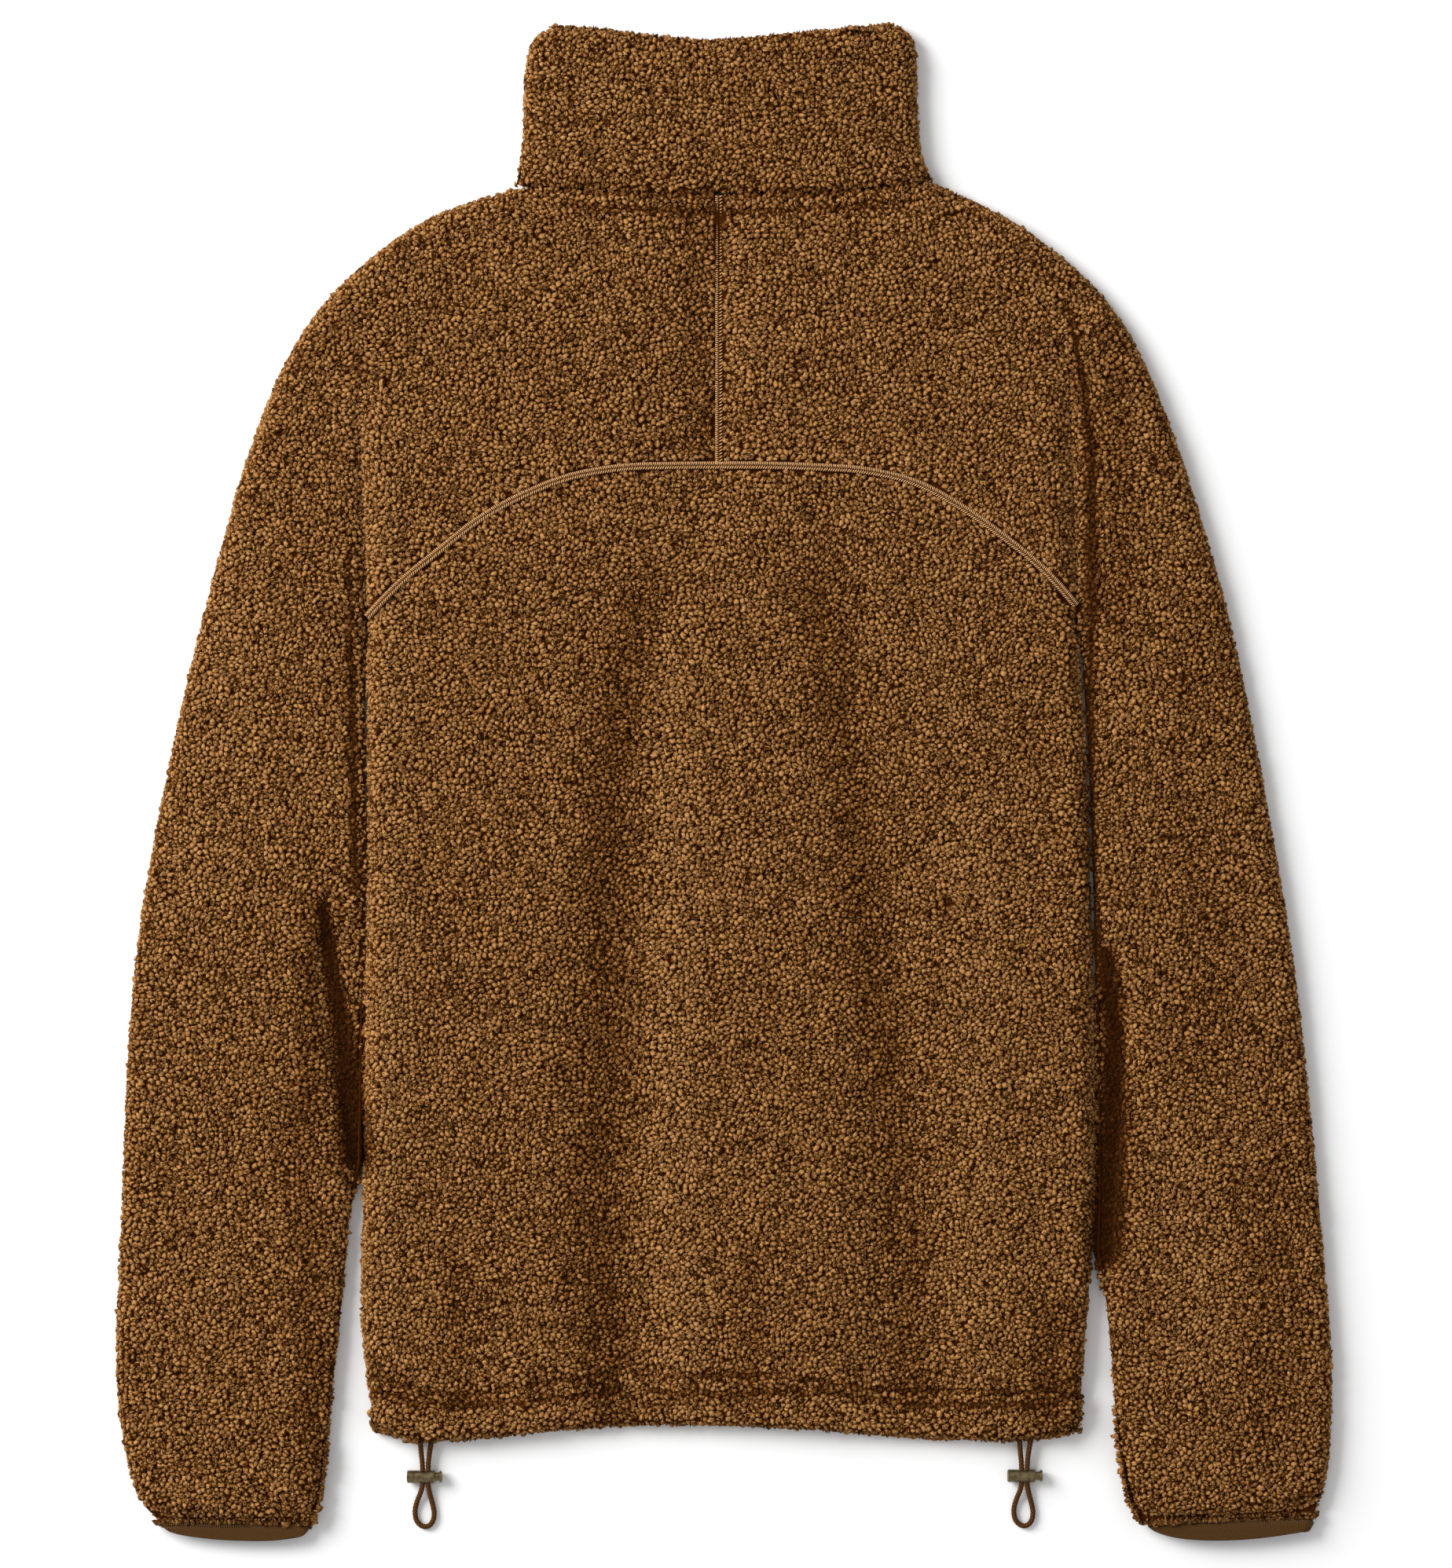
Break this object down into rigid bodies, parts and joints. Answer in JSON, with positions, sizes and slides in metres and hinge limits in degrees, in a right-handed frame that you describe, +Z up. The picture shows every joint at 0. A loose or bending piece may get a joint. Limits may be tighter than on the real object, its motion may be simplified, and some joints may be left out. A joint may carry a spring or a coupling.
{
  "type": "full-zip stand-collar fleece jacket, laid flat",
  "caption": "Long-sleeved curly fleece jacket with a tall stand collar, an arched back yoke cut in one with the sleeves, bound cuffs and a drawcord hem, lying flat on its front.",
  "frame": {"origin": "on the floor, under the middle of the jacket's overall box without the drawcords", "axes": "+Z up out of the jacket's back, +Y from the hem to the collar, +X from the wearer's left sleeve to the right sleeve"},
  "size_m": [0.683, 0.8497, 0.0143],
  "materials": {
    "fleece": "curly pile",
    "binding": "herringbone twill",
    "zip_tape": "woven tape",
    "cord": "round braid",
    "hardware": "antique, dull"
  },
  "bodies": {
    "jacket": {"back_body": "fleece", "sleeve_yoke_left": "fleece", "sleeve_yoke_right": "fleece", "front_left": "fleece", "front_right": "fleece", "collar": "fleece", "cuff_binding_left": "binding", "cuff_binding_right": "binding", "zip_tape_left": "zip_tape", "zip_tape_right": "zip_tape", "zip_slider": "hardware", "drawcord_left": "cord", "drawcord_right": "cord", "cord_lock_barrel_left": "hardware", "cord_lock_barrel_right": "hardware"},
    "pull_tab": {"zip_pull_tab": "hardware"},
    "plunger_left": {"cord_lock_plunger_left": "hardware"},
    "plunger_right": {"cord_lock_plunger_right": "hardware"}
  },
  "joints": [
    {"name": "pull_tab_hinge", "type": "hinge", "parent": "jacket", "child": "pull_tab", "pos_m": [-0.003, 0.371, 0.00135], "axis": [1, 0, 0], "range_deg": [0, 175]},
    {"name": "plunger_left_press", "type": "slide", "parent": "jacket", "child": "plunger_left", "axis": [-1, 0, 0], "range_m": [0, 0.0022], "stiffness_N_per_m": 500, "springref_m": -0.001},
    {"name": "plunger_right_press", "type": "slide", "parent": "jacket", "child": "plunger_right", "axis": [-1, 0, 0], "range_m": [0, 0.0022], "stiffness_N_per_m": 500, "springref_m": -0.001}
  ]
}
